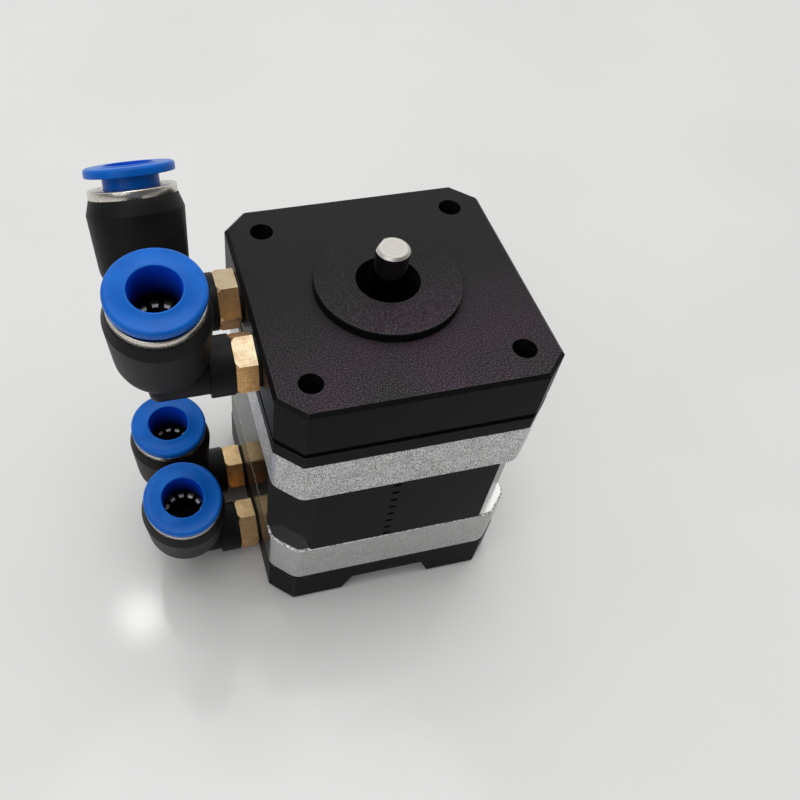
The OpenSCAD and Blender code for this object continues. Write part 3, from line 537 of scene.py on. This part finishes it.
def edges_broken(node, finish, break_mm, steps=2, angle=30, edge=None, upper_rim=0.0):
    """A copy of a CAD node with its sharp edges broken by a narrow rounded bevel."""
    same_place, same_plane = 0.0002 * MM, math.radians(0.4)
    bm = bmesh.new()
    bm.from_mesh(frame["nodes"][node].data)
    bmesh.ops.remove_doubles(bm, verts=bm.verts, dist=same_place)
    bmesh.ops.dissolve_limit(bm, angle_limit=same_plane, verts=bm.verts, edges=bm.edges)
    if upper_rim:
        upper_rim_knocked(bm, upper_rim)
    piece = piece_from(node + "_finished", bm, *([finish, edge] if edge else [finish]))
    bevel = piece.modifiers.new("edge break", "BEVEL")
    bevel.width, bevel.segments = break_mm * MM, steps
    bevel.limit_method, bevel.angle_limit = "ANGLE", math.radians(angle)
    bevel.material = 1 if edge else -1
    return stands_for(flats_kept(piece), node)


def arc(centre, radius, start, end, steps):
    """Points of an arc in a lathe profile, from start to end in degrees."""
    angles = [math.radians(start + (end - start) * i / steps) for i in range(steps + 1)]
    return [(centre[0] + radius * math.cos(a), centre[1] + radius * math.sin(a)) for a in angles]


def lathe(profile, place, segments=160):
    """Turns a closed profile of (radius, height) points in millimetres about the local Z axis."""
    bm = bmesh.new()
    turns = [2 * math.pi * k / segments for k in range(segments)]
    rings = [[bm.verts.new(place @ Vector((r * math.cos(t), r * math.sin(t), h)))
              for t in turns] for r, h in profile]
    for lower, upper in zip(rings, rings[1:] + rings[:1]):
        for k in range(segments):
            n = (k + 1) % segments
            bm.faces.new((lower[k], lower[n], upper[n], upper[k]))
    bmesh.ops.recalc_face_normals(bm, faces=bm.faces)
    return bm


# Fittings

class Fitting:
    """Where one elbow stands: its swivel centre, and the way its tube leaves."""

    def __init__(self, name):
        joints = {j["name"]: j for j in frame["joints"]}
        self.name = name
        centre = Vector(joints[name + "_swivel"]["pos_m"])
        across = Vector(joints[name + "_swivel"]["axis"]).normalized()
        up = -Vector(joints[name + "_release"]["axis"]).normalized()
        turn = Matrix((across, up.cross(across), up)).transposed()
        self.place = Matrix.Translation(centre) @ turn.to_4x4()

    def points(self, part):
        """A part's points in millimetres, in the fitting's own frame."""
        back = self.place.inverted()
        return [back @ v.co / MM for v in frame["nodes"][f"{self.name}_{part}"].data.vertices]

    def reach(self, part):
        """Lowest and highest point along the tube, and the smallest and largest radius."""
        points = self.points(part)
        heights, radii = [p.z for p in points], [math.hypot(p.x, p.y) for p in points]
        return min(heights), max(heights), min(radii), max(radii)


def release_collet(fitting, finish, bore_finish):
    """Blue collet: a flat flange with an eased rim, a bead round its flared bore, and a neck with
    a lip. Its UV map holds each point's radius and its depth under the bead, in millimetres."""
    low, high, bore, rim = fitting.reach("collet")
    neck, flange, corner, rim_ease = 4.0, 1.4, 0.12, 0.5
    lip, lip_height, lip_slope, lip_ease, end_ease = 0.35, 0.6, 0.15, 0.08, 0.1
    bead_height, flare, flare_depth, near = 0.14, 0.22, 1.4, 0.01
    bead = ((0.40, bead_height), (0.30, 0.02), (0.12, 0.0), (0.04, 0.03), (0.0, 0.12))
    mouth, under, face = bore + flare, high - flange, high - bead_height
    profile = (
        [(bore, low + end_ease), (bore + end_ease, low), (neck + lip - lip_ease, low),
         (neck + lip, low + end_ease), (neck + lip, low + lip_height),
         (neck, low + lip_height + lip_slope), (neck, under - corner)]
        + arc((neck + corner, under - corner), corner, 180, 90, 4)
        + [(rim - corner, under)]
        + arc((rim - corner, under + corner), corner, -90, 0, 4)
        + arc((rim - rim_ease, face - rim_ease), rim_ease, 0, 90, 8)
        + [(mouth + out, high - down) for out, down in bead]
        + [(bore, high - flare_depth)])
    piece = piece_from(f"{fitting.name}_release_collet",
                       lathe(profile, fitting.place @ Matrix.Scale(MM, 4)), finish, bore_finish)
    back = fitting.place.inverted()
    spots = [back @ v.co / MM for v in piece.data.vertices]
    places = piece.data.uv_layers.new(name="radius_and_depth")
    for polygon in piece.data.polygons:
        corners = [spots[v] for v in polygon.vertices]
        radii = [math.hypot(spot.x, spot.y) for spot in corners]
        polygon.material_index = int(max(radii) < mouth + near)
        for loop, radius, spot in zip(polygon.loop_indices, radii, corners):
            places.data[loop].uv = (radius, high - spot.z)
    stands_for(flats_kept(piece), f"{fitting.name}_collet")


def socket_ring(fitting, finish):
    """Nickel ring: its mouth and its outer corner are eased, and its lip holds the collet."""
    low, high, bore, rim = fitting.reach("ring")
    points = fitting.points("ring")
    near, foot, below = 0.05, 0.2, 0.5
    seat = min(p.z for p in points if math.hypot(p.x, p.y) > rim - near)
    skirt = max(math.hypot(p.x, p.y) for p in points if p.z < seat - below)
    room = min(math.hypot(p.x, p.y) for p in points if p.z < low + foot)
    lip = min(p.z for p in points if math.hypot(p.x, p.y) < bore + near)
    rim_ease, mouth_ease, corner = 0.22, 0.18, 0.08
    profile = (
        [(room, low), (skirt, low), (skirt, seat), (rim - corner, seat), (rim, seat + corner)]
        + arc((rim - rim_ease, high - rim_ease), rim_ease, 0, 90, 6)
        + arc((bore + mouth_ease, high - mouth_ease), mouth_ease, 90, 180, 5)
        + [(bore, lip), (room, lip)])
    piece = piece_from(f"{fitting.name}_socket_ring",
                       lathe(profile, fitting.place @ Matrix.Scale(MM, 4)), finish)
    stands_for(flats_kept(piece), f"{fitting.name}_ring")


def grip_claw_rule(finish, tip_finish):
    """Grip claw: a stamped rim with tapered teeth that bend down towards the tube."""
    rule = Pattern("grip_claw", rim_outer=4.92, rim_inner=4.1, tooth_tip=2.75, tooth_root_w=1.3,
                   tooth_tip_w=0.72, bright_end=0.72, sheet=0.3, bend=0.3, height=0.0)
    g = rule.given
    hoop = rule.node("GeometryNodeCurvePrimitiveCircle", {}, Resolution=96,
                     Radius=(g["rim_outer"] + g["rim_inner"]) / 2)
    strip = rule.node("GeometryNodeCurvePrimitiveQuadrilateral", {},
                      Width=g["rim_outer"] - g["rim_inner"], Height=g["sheet"])
    rim = rule.node("GeometryNodeCurveToMesh", {}, Curve=hoop, Profile_Curve=strip)
    overlap = 0.1
    length = g["rim_inner"] + overlap - g["tooth_tip"]
    blank = rule.node("GeometryNodeMeshCube", {},
                      Size=rule.vector(length, g["tooth_root_w"], g["sheet"]), Vertices_X=9,
                      Vertices_Y=3)
    spot = rule.node("GeometryNodeInputPosition", {})
    x, y, z = (rule.part(spot, axis) for axis in "XYZ")
    inward = 0.5 - x / length
    narrow = 1 - inward * (1 - g["tooth_tip_w"] / g["tooth_root_w"])
    bent = rule.vector(x, y * narrow, z - g["bend"] * inward ** 2)
    # dull: the tooth in the near-black finish, as painted shade in the bore; polished: its end in the pale finish,
    # as a painted glint.
    dull = rule.finished(blank, finish)
    polished = rule.finished(dull, tip_finish, where=inward.above(g["bright_end"]))
    tooth = rule.node("GeometryNodeSetPosition", {}, polished, Position=bent)
    seated = rule.node("GeometryNodeTransform", {}, tooth,
                       Translation=rule.vector(g["tooth_tip"] + length / 2))
    crown = rule.around(CLAW_TEETH, 0.0, seated)
    whole = rule.node("GeometryNodeTransform", {}, rule.joined(rule.finished(rim, finish), crown),
                      Translation=rule.vector(z=g["height"]))
    return rule.ends_in(whole, smooth=False)


# Motor

def ball_rule(finish):
    """One race of balls."""
    rule = Pattern("bearing_balls", pitch_radius=6.0, ball_radius=1.0, height=0.0)
    g = rule.given
    ball = rule.node("GeometryNodeMeshIcoSphere", {}, Radius=g["ball_radius"], Subdivisions=4)
    raised = rule.node("GeometryNodeTransform", {}, rule.finished(ball, finish),
                       Translation=rule.vector(z=g["height"]))
    return rule.ends_in(rule.around(BALLS_IN_A_BEARING, g["pitch_radius"], raised))


def bearing_balls(node, finish):
    """One bearing's balls, sized by the CAD node's own balls."""
    low, high = (c / MM for c in map(Vector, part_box(node)))
    radius, reach = (high.z - low.z) / 2, high.x
    ball_rule(finish).made(node + "_polished", node, Matrix.Identity(4), ball_radius=radius,
                           pitch_radius=reach - radius, height=(high.z + low.z) / 2)


def winding_rule(finish, first_turn, wire=0.42, layers=3, slack=0.97, tighter=0.8):
    """Four windings: turns of round wire, laid in layers round each pole. The wire is a little
    thinner than its room by slack, and each layer's corners are tighter by that share of it."""
    rule = Pattern("windings", inner=12.0, depth=3.0, width=6.0, height=20.0, middle=0.0,
                   corner=1.3)
    g = rule.given
    round_wire = rule.node("GeometryNodeCurvePrimitiveCircle", {}, Resolution=7,
                           Radius=wire / 2 * slack)
    coils = []
    for layer in range(layers):
        inset = wire * (2 * layer + 1)
        loop = rule.node("GeometryNodeCurvePrimitiveQuadrilateral", {}, Width=g["width"] - inset,
                         Height=g["height"] - inset)
        rounded = rule.node("GeometryNodeFilletCurve", {"mode": "POLY"}, Curve=loop, Count=4,
                            Radius=g["corner"] - wire * layer * tighter)
        turn = rule.node("GeometryNodeCurveToMesh", {}, Curve=rounded, Profile_Curve=round_wire)
        upright = rule.node("GeometryNodeTransform", {}, rule.finished(turn, finish),
                            Rotation=(math.pi / 2, 0.0, math.pi / 2))
        row = rule.node("GeometryNodeMeshLine", {"mode": "OFFSET"},
                        Count=(g["depth"] / wire).floor(),
                        Start_Location=rule.vector(g["inner"] + wire / 2, 0.0, g["middle"]),
                        Offset=rule.vector(wire))
        coils.append(rule.node("GeometryNodeInstanceOnPoints", {}, Points=row, Instance=upright))
    pole = rule.joined(*coils)
    ring = rule.around(POLES_IN_A_PHASE, 0.0, pole)
    turned = rule.node("GeometryNodeTransform", {}, ring,
                       Rotation=(0.0, 0.0, math.radians(first_turn)))
    return rule.ends_in(turned)


def windings(node, finish, first_turn):
    """One phase's four windings, sized by the CAD node's first one, which lies within a slope of
    0.7 on either side of the first turn's direction."""
    slope = 0.7
    turn = Matrix.Rotation(math.radians(-first_turn), 4, "Z")
    points = [turn @ v.co / MM for v in frame["nodes"][node].data.vertices]
    first = [p for p in points if p.x > 0 and abs(p.y) < slope * p.x]
    inner, outer = min(p.x for p in first), max(p.x for p in first)
    low, high = min(p.z for p in first), max(p.z for p in first)
    winding_rule(finish, first_turn).made(
        node + "_wound", node, Matrix.Identity(4), inner=inner, depth=outer - inner,
        width=2 * max(p.y for p in first), height=high - low, middle=(high + low) / 2)


def pin_rule(finish):
    """Square connector pins with tapered tips."""
    rule = Pattern("pins", pitch=2.0, thick=0.5, length=8.0, start_y=0.0, height=0.0)
    g = rule.given
    cube = rule.node("GeometryNodeMeshCube", {},
                     Size=rule.vector(g["thick"], g["length"], g["thick"]), Vertices_Y=21)
    bar = rule.finished(cube, finish)
    spot = rule.node("GeometryNodeInputPosition", {})
    x, y, z = (rule.part(spot, axis) for axis in "XYZ")
    slim = (y / g["length"]).ramp(1.0, 0.45, 0.45, 0.5)
    tapered = rule.vector(x * slim, y, z * slim)
    pin = rule.node("GeometryNodeSetPosition", {}, bar, Position=tapered)
    first = rule.vector(g["pitch"] * (0.5 - LEAD_PINS / 2), g["start_y"] + g["length"] / 2,
                        g["height"])
    row = rule.node("GeometryNodeMeshLine", {"mode": "OFFSET"}, Count=LEAD_PINS,
                    Start_Location=first, Offset=rule.vector(g["pitch"]))
    pins = rule.node("GeometryNodeInstanceOnPoints", {}, Points=row, Instance=pin)
    return rule.ends_in(pins, smooth=False)


def connector_pins(finish):
    """The lead connector's pins, sized and spaced by the CAD node's box."""
    low, high = (c / MM for c in map(Vector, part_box("connector_pins")))
    pitch = (high.x - low.x - (high.z - low.z)) / (LEAD_PINS - 1)
    pin_rule(finish).made("connector_pins_square", "connector_pins", Matrix.Identity(4),
                          pitch=pitch, length=high.y - low.y, start_y=low.y,
                          height=(high.z + low.z) / 2)


def dress_fitting(name, claw_rule, nickel, blue, deep_blue, brass, nylon):
    """One elbow on its stud, with its ring, claw and collet."""
    fitting = Fitting(name)
    low, high, inner, outer = fitting.reach("claw")
    claw_rule.made(name + "_grip_claw", name + "_claw", fitting.place, rim_outer=outer,
                   tooth_tip=inner, sheet=high - low, height=(high + low) / 2)
    release_collet(fitting, blue, deep_blue)
    socket_ring(fitting, nickel)
    edges_broken(name + "_stud", brass, 0.07)
    edges_broken(name + "_elbow", nylon, 0.12, angle=14)


def dress():
    """Gives every CAD node its finish, and makes the pieces with fine forms again."""
    anodising, edge_glint, nylon = black_anodising(), rubbed_edge(), black_nylon()
    brass, chip_glint, sheets, shaft = turned_brass(), chipped_edge(), coated_sheets(), ground_steel()
    front_cast = blasted_casting("front_casting", (0.13, 0.13, 0.132), grey(1.0), 0.06)
    # The rear casting's -X side is painted near-black, as painted shade.
    rear_cast = blasted_casting("rear_casting", grey(0.33), grey(0.60), 0.03, x_shade_share=1.0)
    steel = bright_steel("plated_steel", (0.60, 0.60, 0.61), (0.78, 0.78, 0.79), 0.16)
    # The bearings' steel is painted dark, as painted shade deep inside the motor.
    races = bright_steel("bearing_steel", (0.26, 0.26, 0.27), (0.38, 0.38, 0.39), 0.28)
    rubber, plastic, wire = moulded_rubber(), white_plastic(), enamelled_wire()
    nickel, blue, deep_blue = nickel_plate(), blue_plastic(), blue_bore()
    # The claw's steel is painted near-black, as painted shade in the bore.
    spring = spring_steel("spring_steel", (0.06, 0.06, 0.065), (0.13, 0.13, 0.14))
    # The teeth's ends are painted pale, as a painted glint.
    tip = spring_steel("claw_tip", (0.28, 0.28, 0.30), (0.55, 0.55, 0.57))
    finishes = {
        "anodised": anodising, "gasket_rubber": rubber, "cast_silver": front_cast,
        "lamination": sheets, "white_plastic": plastic, "copper": wire, "bearing_steel": races,
        "screw_steel": steel, "shaft_steel": shaft, "brass": brass,
        "rotor_iron": stamped_iron("soft_iron", (0.40, 0.40, 0.41)),
        "magnet": stamped_iron("sintered_magnet", (0.26, 0.26, 0.27)),
        "black_plastic": nylon, "nickel": nickel, "collet_blue": blue, "seal_rubber": rubber,
        "claw_steel": spring}
    for name, node in frame["nodes"].items():
        node.data.materials.clear()
        node.data.materials.append(finishes[slot_of(name)])
    edges_broken("front_cooling_block", anodising, 0.09, edge=edge_glint)
    edges_broken("front_cover_plate", anodising, 0.07, edge=edge_glint)
    edges_broken("rear_cooling_block", anodising, 0.10, edge=edge_glint)
    edges_broken("front_bell", front_cast, 0.18, steps=3, edge=chip_glint)
    edges_broken("rear_bell", rear_cast, 0.10, steps=3, edge=chip_glint, upper_rim=0.34)
    edges_broken("connector_socket", plastic, 0.10)
    for end in ("front", "rear"):
        bearing_balls(end + "_bearing_balls", races)
    windings("phase_a_coils", wire, first_turn=0)
    windings("phase_b_coils", wire, first_turn=45)
    connector_pins(brass)
    claw_rule = grip_claw_rule(spring, tip)
    for name in FITTINGS:
        dress_fitting(name, claw_rule, nickel, blue, deep_blue, brass, nylon)


# Studio

TABLE_COLOUR, TABLE_HAZE = (0.74, 0.74, 0.735), (0.71, 0.71, 0.705)
TABLE_REACH = 2.0
WALL_COLOUR = (1.0, 1.0, 0.99, 1.0)
ROOM_BACK = Vector((0.10, 0.80, 0.45)).normalized()
CAMERA_PLACE = Vector((-37.65, -83.68, 86.52)) * MM
CAMERA_AIM = Vector((-18.84, -23.02, 0.0)) * MM
CAMERA_ROLL = 4.12
LENS_MM, SENSOR_MM = 37.76, 36.0
CAMERA_SHIFT = (0.1246, 0.0403)


def table_top():
    """A pale polished table, faintly clouded, that reaches to the horizon."""
    corners = ((-1, -1), (1, -1), (1, 1), (-1, 1))
    bm = bmesh.new()
    bm.faces.new([bm.verts.new((x * TABLE_REACH, y * TABLE_REACH, cad_low.z))
                  for x, y in corners])
    f = Finish("table_top", Coat_Weight=0.4, Coat_Roughness=0.11)
    haze = f.noise(f.place(), per_mm=0.012, detail=3.0)
    tint = f.mix(haze.ramp(0, 1, 0.4, 0.6), TABLE_COLOUR, TABLE_HAZE)
    table = piece_from("table_top", bm, f.give(Base_Color=tint, Roughness=0.42 + haze * 0.05))
    table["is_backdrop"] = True


def lamp(name, azimuth, elevation, distance, size, watts):
    """A round soft light that faces the object from the given direction, in degrees."""
    a, e = math.radians(azimuth), math.radians(elevation)
    direction = Vector((math.cos(e) * math.cos(a), math.cos(e) * math.sin(a), math.sin(e)))
    data = bpy.data.lights.new(name, "AREA")
    data.shape, data.size, data.energy = "DISK", size, watts
    light = bpy.data.objects.new(name, data)
    bpy.context.scene.collection.objects.link(light)
    light.location = direction * distance
    light.rotation_euler = direction.to_track_quat("Z", "Y").to_euler()


def room():
    """Pale walls and ceiling, brightest toward the far wall."""
    world = bpy.data.worlds.new("studio")
    bpy.context.scene.world = world
    world.use_nodes = True
    maker = Maker(world.node_tree)
    way = maker.node("ShaderNodeTexCoord", {}, out="Generated")
    toward = maker.node("ShaderNodeVectorMath", {"operation": "DOT_PRODUCT"}, way, ROOM_BACK,
                        out=1)
    background = maker.tree.nodes["Background"]
    background.inputs["Color"].default_value = WALL_COLOUR
    maker.feed(background.inputs["Strength"], toward.ramp(0.10, 1.12, -0.2, 1.0))


def camera():
    """The camera that the photograph was taken with, as fitted to the motor's known sizes."""
    data = bpy.data.cameras.new("camera")
    data.lens, data.sensor_width, data.clip_start = LENS_MM, SENSOR_MM, MM
    data.shift_x, data.shift_y = CAMERA_SHIFT
    seat = bpy.data.objects.new("camera", data)
    bpy.context.scene.collection.objects.link(seat)
    seat.location = CAMERA_PLACE
    level = (CAMERA_PLACE - CAMERA_AIM).normalized().to_track_quat("Z", "Y").to_matrix()
    roll = Matrix.Rotation(math.radians(CAMERA_ROLL), 3, "Z")
    seat.rotation_euler = (level @ roll).to_euler()
    bpy.context.scene.camera = seat


def studio():
    """The table, the room's light and the camera."""
    bpy.context.scene.view_settings.view_transform = "Standard"
    room()
    lamp("ceiling_light", azimuth=90, elevation=88, distance=1.0, size=0.65, watts=3.2)
    lamp("window", azimuth=-135, elevation=40, distance=1.0, size=0.9, watts=2.7)
    lamp("far_lamp", azimuth=103, elevation=64, distance=0.84, size=0.05, watts=0.19)
    table_top()
    camera()


dress()
studio()
